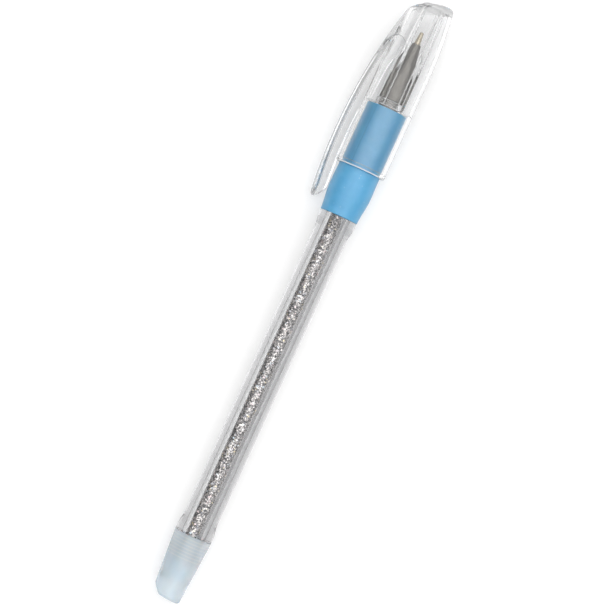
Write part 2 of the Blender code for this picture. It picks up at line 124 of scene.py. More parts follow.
# Refill and point
TUBE_RADIUS = 1.525
TUBE_BORE = 1.075
FOIL_RADIUS = TUBE_RADIUS - 0.055
REFILL_SHIFT = 0.34
REFILL_EASE = 24.0
HOLDER_DEPTH = 3.0
POINT_RADIUS = 0.75
POINT_DEPTH = 3.0
INK_CHANNEL = 0.22
BALL_RADIUS = 0.35
BALL_AT = BALL_TIP - BALL_RADIUS
CUP_RADIUS = BALL_RADIUS + 0.03
CUP_LIP = 0.2
LIP_WALL = 0.08

# Glitter flakes
FLAKE_COUNT = 2400
FLAKE_SEED = 11
FLAKE_CORNERS = 6
FLAKE_SIZE = (0.12, 0.27)
FLAKE_TILT = 0.2
FLAKE_RADIUS = TUBE_RADIUS - 0.035
FLAKE_LIFT = 0.02
FLAKE_ENDS = (TUBE_REAR + 0.3, TUBE_FRONT - 2.0)

# Cap
CAP_WALL = 0.85
CAP_BORE = 5.15
CAP_RADIUS = 6.0
CAP_SIDE = 5.9
CAP_ROUND = 0.7
MOUTH_ROUND = 0.12
LIP_RADIUS = 4.85
LIP_LENGTH = 1.0
LIP_LEAD = 0.15
LIP_LEAD_LENGTH = 0.3
SIDE_ARC = 110.0
TOP_ARC = 12.5
TOP_INNER_ARC = 11.65
TOP_SHIFT = 3.8
TIP_ROOM = 5.8
TOP_CENTRE = BALL_TIP + TIP_ROOM - math.sqrt(TOP_INNER_ARC**2 - TOP_SHIFT**2)
CAP_TOP = TOP_CENTRE + TOP_ARC
CAP_RIB_COUNT = 6
CAP_RIB_HALF = 0.3
CAP_RIB_REAR = GRIP_FRONT + 0.4
CAP_RIB_RADIUS = NECK_RADIUS + 0.1
GATE_SHIFT = 1.7
GATE_FOOT = 1.35
GATE_RADIUS = 1.1
GATE_HEIGHT = 0.45
GATE_ROUND = 0.12
OVERSHOOT = 1.0
FAR = 3.0 * CAP_RADIUS

# Clip
CREST_HEIGHT = 9.72
CLIP_THICKNESS = 2.05
CLIP_LEAD = 3.7
CLIP_EDGE = 0.4
CLIP_FLOOR = 5.45
CLIP_TIP_HALF = 2.25
CLIP_TIP_LENGTH = 4.5
CLIP_ROOT_HALF = 2.9
CLIP_ROOT_FLARE = 0.6 * CLIP_ROOT_HALF
POCKET_FLOOR = -0.01
ROOF_ARC = 3.2
ROOF_TOP = CAP_TOP - 10.4
ROOF_START = ROOF_TOP - ROOF_ARC
SHELL_FRONT = ROOF_TOP + 0.4 * (CAP_TOP - ROOF_TOP)

# Clear plastics: limits and tones of the bore's painted grey shade, the painted dark outline at a glance,
# the worn clip, the painted white highlights on edges and the painted dark line round the pocket's roof
BORE_REACH = (BARREL_BORE + 0.1, BARREL_BORE + 0.2)
BORE_SIDE = (0.8, 1.1)
BORE_GLANCE = (0.14, 0.3)
BORE_SHADE_GREY = (0.3, 0.3, 0.31)
SHADE_GLANCE = (0.68, 0.86)
SCUFF_HEIGHT = (CLIP_FLOOR, CLIP_FLOOR + 0.8)
SCUFF_LENGTH = (CAP_MOUTH - 8.0, CAP_MOUTH + 20.0)
HIGHLIGHT_WHITE = (0.9, 0.9, 0.9)
ROOF_LINE = 0.1
ROOF_SKIN = 0.975
ROOF_SHADE_GREY = (0.34, 0.34, 0.35)

# Stretches of painted white highlight, (first, last, radius, strength): the collar's face, then the cap's
# mouth ring, the step of its lip, the ends and edges of its ribs, and its top
COLLAR_HIGHLIGHTS = (
    (COLLAR_FACE - 0.15, COLLAR_FACE + 0.1, NECK_RADIUS + 0.1, 0.6),
)
CAP_HIGHLIGHTS = (
    (CAP_MOUTH - 0.1, CAP_MOUTH + 0.22, CAP_RADIUS + 0.1, 0.7),
    (CAP_MOUTH + LIP_LENGTH - 0.05, CAP_MOUTH + LIP_LENGTH + 0.05, CAP_BORE + 0.05, 0.5),
    (CAP_RIB_REAR - 0.1, CAP_RIB_REAR + 0.1, CAP_BORE + 0.05, 0.5),
    (CAP_RIB_REAR - 0.1, CAP_TOP, CAP_RIB_RADIUS + 0.05, 0.25),
    (CAP_TOP - 1.6, CAP_TOP + 1.0, CAP_RADIUS, 0.35),
)

# Studio, in metres; a wall is (height of the direction, brightness)
FLOOR_RADIUS = 6.0
FLOOR_DROP = 0.00005
FLOOR_TONES = (0.61, 0.63)
FLOOR_LIFT = 0.4
GLOW = 1.38
GLOW_AT = Vector((0.25, -0.1, 1.0)).normalized()
GLOW_REACH = (0.5, 0.97)
LEFT_WALL = ((0.0, 0.9), (0.03, 0.9), (0.08, 0.45), (0.3, 0.45), (0.6, 0.5), (0.85, 0.6))
RIGHT_WALL = ((0.0, 0.9), (0.03, 0.9), (0.08, 0.45), (0.3, 0.55), (0.6, 0.7), (0.85, 0.75))
WALL_CHANGE = (-0.3, 0.4)
BOUNCES = 80

# Camera: lens in millimetres, view in pen millimetres
LENS = 150.0
SENSOR = 36.0
VIEW_LEAN = math.radians(24.48)
VIEW_WIDTH = 137.6
VIEW_ALONG = 73.69
VIEW_RIGHT = 1.09

# The pen's axes in the frame, from the two joints
JOINTS = {joint["name"]: joint for joint in frame["joints"]}
AXIS = Vector(JOINTS["cap_pull"]["axis"]).normalized()
FRONT = Vector(JOINTS["ball_roll"]["axis"]).normalized()
CLIP = FRONT.cross(AXIS)
ORIGIN = Vector(JOINTS["ball_roll"]["pos_m"]) - AXIS * BALL_AT * MM
PEN = Matrix((AXIS, CLIP, FRONT)).transposed().to_4x4()
PEN.translation = ORIGIN

# The level direction across the pen, to the clip's side, in the frame and in the pen's axes
LEFT = Vector((0.0, 0.0, 1.0)).cross(AXIS).normalized()
LEVEL = (0.0, LEFT.dot(CLIP), LEFT.dot(FRONT))

# Mesh steps
ROUND = 128
SMALL = 72
SEARCH_STEPS = 60
EDGE_STEPS = 8
MERGE = 1e-5
SHARP = math.radians(32.0)


# Shapes

def arc(centre, radius, start, end, count):
    """Points on an arc, its angles in degrees from the axis."""
    points = []
    for i in range(count + 1):
        angle = math.radians(start + (end - start) * i / count)
        points.append((centre[0] + radius * math.cos(angle), centre[1] + radius * math.sin(angle)))
    return points


def rear_corner(x, r, size, count):
    """Rounded outer corner at the rear end of a turned piece."""
    return arc((x + size, r - size), size, 180.0, 90.0, count)


def front_corner(x, r, size, count):
    """Rounded outer corner at the front end of a turned piece."""
    return arc((x - size, r - size), size, 90.0, 0.0, count)


def run(x0, r0, x1, r1, count):
    """Even points on a straight line, without its start."""
    return [(x0 + (x1 - x0) * i / count, r0 + (r1 - r0) * i / count) for i in range(1, count + 1)]


def swell(x0, r0, x1, r1, count):
    """Points of a smooth change of radius, level at both ends."""
    points = []
    for i in range(count + 1):
        share = i / count
        rise = (1.0 - math.cos(math.pi * share)) / 2.0
        points.append((x0 + (x1 - x0) * share, r0 + (r1 - r0) * rise))
    return points


def linked(name, bm):
    """An object in the scene from a bmesh."""
    mesh = bpy.data.meshes.new(name)
    bm.to_mesh(mesh)
    bm.free()
    obj = bpy.data.objects.new(name, mesh)
    bpy.context.scene.collection.objects.link(obj)
    return obj


def solid(name, bm):
    """An object from a bmesh, its seams merged and its faces turned out."""
    bmesh.ops.remove_doubles(bm, verts=bm.verts, dist=MERGE)
    bmesh.ops.recalc_face_normals(bm, faces=bm.faces)
    return linked(name, bm)


def turned(name, outline, steps=ROUND, bend=None):
    """Spin an outline of (place, radius) about the axis; bend(x) moves the middle of each ring."""
    bm = bmesh.new()
    rings = []
    for x, r in outline:
        y0, z0 = bend(x) if bend else (0.0, 0.0)
        ring = []
        for i in range(steps):
            angle = math.tau * i / steps
            ring.append(bm.verts.new((x, y0 + r * math.cos(angle), z0 + r * math.sin(angle))))
        rings.append(ring)
    pairs = list(zip(rings, rings[1:]))
    on_axis = outline[0][1] == 0.0 and outline[-1][1] == 0.0
    if not on_axis:
        pairs.append((rings[-1], rings[0]))
    for one, two in pairs:
        for i in range(steps):
            j = (i + 1) % steps
            bm.faces.new((one[i], one[j], two[j], two[i]))
    return solid(name, bm)


def slab(name, outline, low, high, flat="XY"):
    """Extrude an outline: one drawn in XY along Z, one drawn in XZ along Y."""
    bm = bmesh.new()
    if flat == "XY":
        verts = [bm.verts.new((x, y, low)) for x, y in outline]
        shift = (0.0, 0.0, high - low)
    else:
        verts = [bm.verts.new((x, low, z)) for x, z in outline]
        shift = (0.0, high - low, 0.0)
    face = bm.faces.new(verts)
    grown = bmesh.ops.extrude_face_region(bm, geom=[face])
    moved = [item for item in grown["geom"] if isinstance(item, bmesh.types.BMVert)]
    bmesh.ops.translate(bm, verts=moved, vec=shift)
    return solid(name, bm)


def lofted(name, section, low, top, count, rings=0, edge=0.0):
    """Skin from a flat end at low to the end surface top(y, z), through section(x, angle) -> (y, z).

    The rim between side and end is rounded, starting the distance edge from it on both.
    """
    lines = []
    for i in range(ROUND):
        angle = math.tau * i / ROUND
        x = low
        for _ in range(SEARCH_STEPS):
            x = top(*section(x, angle))
        y, z = section(x, angle)
        corner = Vector((x, y, z))
        side = x + math.copysign(edge, low - x)
        inner = 1.0 - edge / math.hypot(y, z)
        line = []
        for k in range(count + 1):
            at = low + (side - low) * k / count
            line.append(Vector((at, *section(at, angle))))
        final = Vector((top(y * inner, z * inner), y * inner, z * inner))
        if edge:
            before, after = line[-1] - corner, final - corner
            for k in range(1, EDGE_STEPS):
                share = k / EDGE_STEPS
                bow = before * (1.0 - share) ** 2 + after * share**2
                line.append(corner + bow)
        line.append(final)
        for ring in range(1, rings + 1):
            scale = inner * (1.0 - ring / (rings + 1))
            line.append(Vector((top(y * scale, z * scale), y * scale, z * scale)))
        lines.append(line)
    bm = bmesh.new()
    loops = [[bm.verts.new(line[k]) for line in lines] for k in range(len(lines[0]))]
    for first, second in zip(loops, loops[1:]):
        for i in range(ROUND):
            j = (i + 1) % ROUND
            bm.faces.new((first[i], first[j], second[j], second[i]))
    bm.faces.new(loops[0])
    if rings:
        peak = bm.verts.new((top(0.0, 0.0), 0.0, 0.0))
        for i in range(ROUND):
            bm.faces.new((loops[-1][i], loops[-1][(i + 1) % ROUND], peak))
    else:
        bm.faces.new(loops[-1])
    return solid(name, bm)


def combine(target, tool, operation):
    """Cut or join with a helper, then keep only the result."""
    modifier = target.modifiers.new(tool.name, "BOOLEAN")
    modifier.object = tool
    modifier.operation = operation
    modifier.solver = "EXACT"
    graph = bpy.context.evaluated_depsgraph_get()
    result = bpy.data.meshes.new_from_object(target.evaluated_get(graph))
    target.modifiers.clear()
    target.data = result
    bpy.data.objects.remove(tool, do_unlink=True)


def settle(obj, body, material, slot, *nodes):
    """Smooth the piece, carry it into the frame, and tie it to its body and CAD nodes; slot is not used."""
    mesh = obj.data
    mesh.shade_smooth()
    mesh.set_sharp_from_angle(angle=SHARP)
    mesh.transform(PEN @ Matrix.Scale(MM, 4))
    mesh.materials.clear()
    mesh.materials.append(material)
    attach(obj, body)
    if nodes:
        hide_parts(*nodes)


# Nodes

def start(name):
    """A new node material, its tree and its Principled node."""
    material = bpy.data.materials.new(name)
    material.use_nodes = True
    return material, material.node_tree, material.node_tree.nodes["Principled BSDF"]


def put(tree, kind, inputs=None, **settings):
    """Add a node; an input that is a socket gets linked, any other is set."""
    node = tree.nodes.new(kind)
    for key, value in settings.items():
        setattr(node, key, value)
    for key, value in (inputs or {}).items():
        if isinstance(value, bpy.types.NodeSocket):
            tree.links.new(value, node.inputs[key])
        else:
            node.inputs[key].default_value = value
    return node


def fix(shader, **values):
    """Set the sockets that are the same all over the surface, named with _ for a space."""
    for key, value in values.items():
        shader.inputs[key.replace("_", " ")].default_value = value


def pen_place(tree, stretch=(1.0, 1.0, 1.0)):
    """Coordinates in pen millimetres, stretched along each axis."""
    coords = put(tree, "ShaderNodeTexCoord").outputs["Object"]
    pose = {"Location": ORIGIN, "Rotation": PEN.to_euler(), "Scale": (MM, MM, MM)}
    local = put(tree, "ShaderNodeMapping", {"Vector": coords, **pose}, vector_type="TEXTURE")
    scaled = put(tree, "ShaderNodeMapping", {"Vector": local.outputs[0], "Scale": stretch})
    return scaled.outputs[0]


def noise(tree, place, scale, detail=3.0, roughness=0.55):
    """Noise over a place, from 0 to 1."""
    inputs = {"Vector": place, "Scale": scale, "Detail": detail, "Roughness": roughness}
    return put(tree, "ShaderNodeTexNoise", inputs).outputs[0]


def spread(tree, value, low, high, start_at=0.3, end_at=0.7):
    """Map a value between two limits to low and high."""
    inputs = {"Value": value, "From Min": start_at, "From Max": end_at, "To Min": low, "To Max": high}
    return put(tree, "ShaderNodeMapRange", inputs).outputs[0]


def ramp(tree, value, stops):
    """Colours along a value: stops are (place, colour)."""
    node = put(tree, "ShaderNodeValToRGB", {"Fac": value})
    elements = node.color_ramp.elements
    while len(elements) < len(stops):
        elements.new(1.0)
    for element, (place, colour) in zip(elements, stops):
        element.position = place
        element.color = (*colour, 1.0)
    return node.outputs[0]


def two_tone(tree, value, dark, light):
    """A colour that goes from dark to light over the middle of a noise."""
    return ramp(tree, value, [(0.3, dark), (0.7, light)])


def mixed(tree, share, first, second):
    """A colour between two."""
    inputs = {"Factor": share, "A": first, "B": second}
    return put(tree, "ShaderNodeMix", inputs, data_type="RGBA").outputs["Result"]


def bumped(tree, shader, height, strength, distance):
    """Drive the shader's normal by a height."""
    bump = put(tree, "ShaderNodeBump", {"Height": height, "Strength": strength, "Distance": distance})
    tree.links.new(bump.outputs[0], shader.inputs["Normal"])


def combined(tree, operation, *values):
    """Values through one math node."""
    return put(tree, "ShaderNodeMath", dict(enumerate(values)), operation=operation).outputs[0]


def product(tree, first, *others):
    """Several values multiplied."""
    for other in others:
        first = combined(tree, "MULTIPLY", first, other)
    return first


def vectors(tree, operation, *values):
    """Vectors through one math node; a length or a dot product comes out as a number."""
    node = put(tree, "ShaderNodeVectorMath", dict(enumerate(values)), operation=operation)
    number = operation in ("LENGTH", "DOT_PRODUCT")
    return node.outputs["Value" if number else "Vector"]


def veiled(tree, surface, share, colour):
    """A surface with a share of matte colour over it."""
    matte = put(tree, "ShaderNodeBsdfDiffuse", {"Color": (*colour, 1.0)})
    return put(tree, "ShaderNodeMixShader", {0: share, 1: surface, 2: matte.outputs[0]}).outputs[0]


# Materials

def bore_painted_shade(tree, place, reach, grazing, left, right):
    """Share of painted grey shade on the barrel's bore at a glance, for its left and right side."""
    inside = spread(tree, reach, 1.0, 0.0, *BORE_REACH)
    aside = vectors(tree, "DOT_PRODUCT", place, LEVEL)
    first = spread(tree, aside, 0.0, left, *BORE_SIDE)
    second = spread(tree, aside, right, 0.0, -BORE_SIDE[1], -BORE_SIDE[0])
    glance = spread(tree, grazing, 0.0, 1.0, *BORE_GLANCE)
    return product(tree, inside, glance, combined(tree, "ADD", first, second))


def painted_highlight_share(tree, along, reach, edges):
    """Share of painted white highlight on the stretches in edges."""
    total = 0.0
    for first, last, radius, strength in edges:
        after = combined(tree, "GREATER_THAN", along, first)
        before = combined(tree, "LESS_THAN", along, last)
        under = combined(tree, "LESS_THAN", reach, radius)
        total = combined(tree, "MAXIMUM", total, product(tree, after, before, under, strength))
    return total


def roof_shade_line(tree, place, parts):
    """1 along the two edges of the clip pocket's round roof, where a painted dark line goes, 0 elsewhere.
    """
    away = vectors(tree, "SUBTRACT", place, (*roof_centre(), 0.0))
    flat = vectors(tree, "MULTIPLY", away, (1.0, 1.0, 0.0))
    on_arc = combined(tree, "COMPARE", vectors(tree, "LENGTH", flat), ROOF_ARC, ROOF_LINE)
    ends = (ROOF_START, ROOF_TOP)
    clip = spread(tree, parts["X"], *(cap_clip(x) for x in ends), *ends)
    plain = spread(tree, parts["X"], *(cap_plain(x) for x in ends), *ends)
    up = combined(tree, "DIVIDE", parts["Y"], clip)
    aside = combined(tree, "DIVIDE", parts["Z"], plain)
    share = put(tree, "ShaderNodeCombineXYZ", {"Y": up, "Z": aside}).outputs[0]
    outer = combined(tree, "GREATER_THAN", vectors(tree, "LENGTH", share), ROOF_SKIN)
    upper = combined(tree, "GREATER_THAN", parts["X"], ROOF_START)
    return product(tree, on_arc, outer, upper)


def clear_plastic(name, tint, rim, scratch, density, ior, edges, painted_shade=None, scuff=0.0, roof=0.0):
    """Clear moulded plastic: darker at a glance by painted shade, with faint haze, flow marks and fine
    rubbing along it.

    edges are stretches of painted white highlight, the pair after them is the share of painted grey shade
    on the bore, (left, right), scuff roughens the clip, most at its tip, and roof is the strength of the
    painted dark line round the roof of the clip's pocket; rim sets how dark the painted shade at a glance
    goes.
    """
    material, tree, shader = start(name)
    output = tree.nodes["Material Output"].inputs
    depth = put(tree, "ShaderNodeVolumeAbsorption", {"Color": (0.5, 0.5, 0.5, 1.0), "Density": density})
    tree.links.new(depth.outputs[0], output["Volume"])
    fix(shader, Transmission_Weight=1.0, IOR=ior)
    place = pen_place(tree)
    parts = put(tree, "ShaderNodeSeparateXYZ", {0: place}).outputs
    reach = vectors(tree, "LENGTH", vectors(tree, "MULTIPLY", place, (0.0, 1.0, 1.0)))
    grazing = put(tree, "ShaderNodeLayerWeight", {"Blend": 0.5}).outputs["Facing"]

    rub = noise(tree, pen_place(tree, (0.05, 1.6, 1.6)), scale=2.2, detail=5.0, roughness=0.7)
    haze = noise(tree, place, scale=0.35, detail=2.0)
    fine = spread(tree, rub, 0.01, scratch, start_at=0.55, end_at=0.8)
    rough = combined(tree, "ADD", fine, spread(tree, haze, 0.0, 0.02))
    if scuff:
        outer = spread(tree, parts["Y"], 0.0, scuff, *SCUFF_HEIGHT)
        near = spread(tree, parts["X"], 1.0, 0.0, *SCUFF_LENGTH)
        rough = combined(tree, "ADD", rough, product(tree, outer, near))
    tree.links.new(rough, shader.inputs["Roughness"])
    colour = two_tone(tree, haze, tint, tuple(min(1.0, c * 1.02) for c in tint))
    # Painted shade: the colour darkens towards rim times the tint at a glance, a dark outline.
    outline = spread(tree, grazing, 0.0, 1.0, *SHADE_GLANCE)
    glance_shaded = mixed(tree, outline, colour, (*(c * rim for c in tint), 1.0))
    tree.links.new(glance_shaded, shader.inputs["Base Color"])
    flow = noise(tree, pen_place(tree, (0.12, 0.6, 0.6)), scale=0.9, detail=2.0)
    bumped(tree, shader, flow, strength=0.05, distance=0.00004)

    surface = shader.outputs[0]
    # Painted shade: a grey matte veil on the bore's sides at a glance.
    if painted_shade:
        surface = veiled(tree, surface, bore_painted_shade(tree, place, reach, grazing, *painted_shade), BORE_SHADE_GREY)
    # Painted highlights: a white matte veil on the stretches in edges.
    surface = veiled(tree, surface, painted_highlight_share(tree, parts["X"], reach, edges), HIGHLIGHT_WHITE)
    # Painted shade: a grey matte line round the pocket's roof.
    if roof:
        surface = veiled(tree, surface, product(tree, roof_shade_line(tree, place, parts), roof), ROOF_SHADE_GREY)
    tree.links.new(surface, output["Surface"])
    return material


def rubber(name):
    """Soft blue rubber: satin skin, slight mottling, fine grain, a little dust, and painted light that
    makes it lighter under the cap.
    """
    material, tree, shader = start(name)
    place = pen_place(tree)
    mottle = noise(tree, place, scale=0.45)
    grain = noise(tree, place, scale=7.0, roughness=0.6)
    shown = two_tone(tree, mottle, (0.055, 0.32, 0.565), (0.076, 0.36, 0.615))
    # Painted light: a lighter copy of the blue for where the cap covers the grip.
    painted_light_under_cap = two_tone(tree, mottle, (0.075, 0.4, 0.69), (0.1, 0.45, 0.75))
    along = put(tree, "ShaderNodeSeparateXYZ", {0: place}).outputs["X"]
    covered = spread(tree, along, 0.0, 1.0, CAP_MOUTH - 0.3, CAP_MOUTH + 0.3)
    specks = put(tree, "ShaderNodeTexVoronoi", {"Vector": place, "Scale": 0.85, "Randomness": 1.0})
    dust = spread(tree, specks.outputs["Distance"], 1.0, 0.0, start_at=0.05, end_at=0.08)
    dusty = mixed(tree, dust, mixed(tree, covered, shown, painted_light_under_cap), (0.5, 0.66, 0.8, 1.0))
    tree.links.new(dusty, shader.inputs["Base Color"])
    tree.links.new(spread(tree, grain, 0.36, 0.52), shader.inputs["Roughness"])
    fix(shader, Specular_IOR_Level=1.0, Sheen_Weight=0.15, Sheen_Roughness=0.4)
    fix(shader, Subsurface_Weight=0.25, Subsurface_Radius=(0.2, 0.6, 1.0), Subsurface_Scale=0.0006)
    bumped(tree, shader, grain, strength=0.12, distance=0.00004)
    return material


def turned_metal(name, dark, light, low, high, pitch, depth, edge=1.0):
    """Metal off a lathe: fine turning lines round the axis, uneven tone and roughness.

    low and high are the roughness, pitch and depth belong to the lines, and edge is the tint at a glance.
    """
    material, tree, shader = start(name)
    fix(shader, Metallic=1.0, Specular_Tint=(edge, edge, edge, 1.0))
    tone = noise(tree, pen_place(tree, (1.0, 0.4, 0.4)), scale=1.3, detail=4.0)
    tree.links.new(two_tone(tree, tone, dark, light), shader.inputs["Base Color"])
    lines = noise(tree, pen_place(tree, (1.0 / pitch, 0.02, 0.02)), scale=1.0, detail=4.0, roughness=0.65)
    tree.links.new(spread(tree, lines, low, high), shader.inputs["Roughness"])
    bumped(tree, shader, lines, depth, distance=0.00002)
    return material


def milky_plastic(name):
    """Milky blue plastic: part clear, part cloudy, uneven in tint, with rings of painted highlight at the
    ribs' pitch.
    """
    material, tree, shader = start(name)
    cloud = noise(tree, pen_place(tree, (0.25, 0.5, 0.5)), scale=0.7)
    colour = two_tone(tree, cloud, (0.755, 0.857, 0.975), (0.825, 0.902, 0.995))
    along = put(tree, "ShaderNodeSeparateXYZ", {0: pen_place(tree)}).outputs["X"]
    first = SPIGOT_REAR + 0.5 * RIB_PITCH
    turns = spread(tree, along, 0.0, math.tau * RIB_COUNT, first, first + RIB_COUNT * RIB_PITCH)
    # Painted highlight: white rings at the pitch of the spigot's ribs inside.
    rib_highlight = spread(tree, combined(tree, "COSINE", turns), 0.45, 0.0, start_at=-1.0, end_at=0.0)
    rib_highlighted = mixed(tree, rib_highlight, colour, (1.0, 1.0, 1.0, 1.0))
    tree.links.new(rib_highlighted, shader.inputs["Base Color"])
    grain = noise(tree, pen_place(tree), scale=5.0)
    tree.links.new(spread(tree, grain, 0.08, 0.15), shader.inputs["Roughness"])
    fix(shader, Transmission_Weight=0.6, IOR=1.5)
    fix(shader, Subsurface_Weight=1.0, Subsurface_Radius=(0.7, 0.9, 1.0), Subsurface_Scale=0.002)
    bumped(tree, shader, grain, strength=0.04, distance=0.00003)
    return material


def foil(name):
    """The refill's film of fine glitter: each grain has its own tone and tilt."""
    material, tree, shader = start(name)
    fix(shader, Metallic=1.0)
    grains = put(tree, "ShaderNodeTexVoronoi", {"Vector": pen_place(tree), "Scale": 4.0}).outputs["Color"]
    tones = put(tree, "ShaderNodeSeparateColor", {0: grains}).outputs
    steps = [
        (0.0, (0.02, 0.019, 0.02)),
        (0.35, (0.14, 0.133, 0.135)),
        (0.7, (0.5, 0.475, 0.465)),
        (1.0, (1.0, 0.95, 0.91)),
    ]
    tree.links.new(ramp(tree, tones[0], steps), shader.inputs["Base Color"])
    tree.links.new(spread(tree, tones[1], 0.15, 0.4, start_at=0.0, end_at=1.0), shader.inputs["Roughness"])
    middle = vectors(tree, "SUBTRACT", grains, (0.5, 0.5, 0.5))
    facing = put(tree, "ShaderNodeNewGeometry").outputs["Normal"]
    lean = vectors(tree, "MULTIPLY_ADD", middle, (0.6, 0.6, 0.6), facing)
    tree.links.new(vectors(tree, "NORMALIZE", lean), shader.inputs["Normal"])
    return material


def glitter(name):
    """Metal flakes, each with its own tint and polish."""
    material, tree, shader = start(name)
    fix(shader, Metallic=1.0)
    which = put(tree, "ShaderNodeNewGeometry").outputs["Random Per Island"]
    tints = [
        (0.0, (0.1, 0.1, 0.11)),
        (0.16, (0.3, 0.31, 0.36)),
        (0.28, (0.95, 0.94, 0.95)),
        (0.46, (1.0, 0.96, 0.9)),
        (0.58, (1.0, 0.86, 0.55)),
        (0.66, (0.2, 0.18, 0.16)),
        (0.78, (0.95, 0.78, 0.78)),
        (0.88, (0.7, 0.82, 0.88)),
        (1.0, (1.0, 0.97, 0.95)),
    ]
    tree.links.new(ramp(tree, which, tints), shader.inputs["Base Color"])
    tree.links.new(spread(tree, which, 0.12, 0.3, start_at=0.0, end_at=1.0), shader.inputs["Roughness"])
    return material


def plain_plastic(name, dark, light, low, high, scale):
    """A plain moulded or poured surface: uneven tone, with roughness from low to high."""
    material, tree, shader = start(name)
    tone = noise(tree, pen_place(tree), scale)
    tree.links.new(two_tone(tree, tone, dark, light), shader.inputs["Base Color"])
    tree.links.new(spread(tree, tone, low, high), shader.inputs["Roughness"])
    return material


# Pieces of the pen

def barrel_shape():
    """Clear tube: ribbed spigot, flared ends, neck under the grip and a collar."""
    face, front = PLUG_FACE + FIT, GRIP_REAR - FIT
    outline = [(SPIGOT_REAR, BARREL_BORE), (SPIGOT_REAR, SPIGOT_RADIUS - SPIGOT_CHAMFER)]
    outline.append((SPIGOT_REAR + SPIGOT_CHAMFER, SPIGOT_RADIUS))
    for i in range(RIB_COUNT):
        middle = SPIGOT_REAR + RIB_PITCH * (i + 0.75)
        for k in range(9):
            lean = -1.0 + k / 4.0
            rise = RIB_HEIGHT * math.cos(lean * math.pi / 2.0) ** RIB_FULLNESS
            outline.append((middle + RIB_HALF * lean, SPIGOT_RADIUS + rise))
    outline.append((face, SPIGOT_RADIUS))
    outline += rear_corner(face, FLARE_RADIUS, FLARE_ROUND, 5)
    outline += swell(face + FLARE_LEVEL, FLARE_RADIUS, face + FLARE_END, BARREL_RADIUS, 20)
    outline += run(face + FLARE_END, BARREL_RADIUS, front - FLARE_END, BARREL_RADIUS, 30)[:-1]
    outline += swell(front - FLARE_END, BARREL_RADIUS, front - FLARE_LEVEL, FLARE_RADIUS, 20)
    outline += front_corner(front, FLARE_RADIUS, FLARE_ROUND, 5)
    outline.append((front, NECK_RADIUS))
    outline += front_corner(COLLAR_FACE, NECK_RADIUS, COLLAR_ROUND, 4)
    bottom = COLLAR_FACE - SOCKET_DEPTH
    outline += [(COLLAR_FACE, SOCKET_RADIUS), (bottom, SOCKET_RADIUS), (bottom, BARREL_BORE)]
    return turned("barrel_clear", outline)


def grip_shape():
    """Rubber sleeve: bulged where it is held, stepped for the cap, plain in front."""
    shoulder = CAP_MOUTH - FIT
    outline = [(GRIP_REAR, GRIP_BORE)]
    outline += rear_corner(GRIP_REAR, GRIP_WAIST, GRIP_REAR_ROUND, 5)
    outline += swell(GRIP_REAR, GRIP_WAIST, GRIP_CREST, GRIP_CROWN, 24)[2:]
    outline += swell(GRIP_CREST, GRIP_CROWN, shoulder, GRIP_SHOULDER, 14)[1:-1]
    outline += front_corner(shoulder, GRIP_SHOULDER, GRIP_STEP_ROUND, 4)
    outline.append((shoulder, GRIP_RADIUS))
    outline += front_corner(GRIP_FRONT, GRIP_RADIUS, GRIP_FRONT_ROUND, 5)
    outline.append((GRIP_FRONT, GRIP_BORE))
    return turned("grip_rubber", outline)


def cone_shape():
    """Metal cone with a shank behind its flange and a small mouth for the point."""
    flange = COLLAR_FACE + FIT
    straight = flange + CONE_STRAIGHT
    rear = COLLAR_FACE - SOCKET_DEPTH + FIT
    outline = [(rear, CONE_BORE), (rear, CONE_SHANK), (flange, CONE_SHANK)]
    outline += [(flange, CONE_BASE - CONE_CHAMFER), (flange + CONE_CHAMFER, CONE_BASE)]
    outline += run(flange, CONE_BASE, straight, CONE_WAIST, 4)
    for x, share in run(straight, 0.0, CONE_FRONT, 1.0, 24):
        bend = share * (1.0 + CONE_BELLY - CONE_BELLY * share)
        outline.append((x, CONE_WAIST + (CONE_MOUTH - CONE_WAIST) * bend))
    mouth = POINT_RADIUS + FIT
    outline += [(CONE_FRONT, mouth), (HOLDER_FRONT + FIT, mouth), (HOLDER_FRONT + FIT, CONE_BORE)]
    return turned("cone_metal", outline, steps=96)


def refill_bend(x):
    """How far the slack refill lies to the clip's side, inside the barrel's bore."""
    share = min(1.0, max(0.0, (REFILL_HELD - x) / REFILL_EASE))
    shift = REFILL_SHIFT * share * share * (3.0 - 2.0 * share)
    return shift * math.cos(PLUG_TURN), shift * math.sin(PLUG_TURN)


def tube_shape():
    """Refill tube, slightly slack in the bore."""
    outline = [(TUBE_REAR, TUBE_BORE), (TUBE_REAR, FOIL_RADIUS)]
    outline += run(TUBE_REAR, FOIL_RADIUS, TUBE_FRONT, FOIL_RADIUS, 60)
    outline.append((TUBE_FRONT, TUBE_BORE))
    outline += run(TUBE_FRONT, TUBE_BORE, TUBE_REAR, TUBE_BORE, 60)[:-1]
    return turned("refill_tube", outline, steps=48, bend=refill_bend)


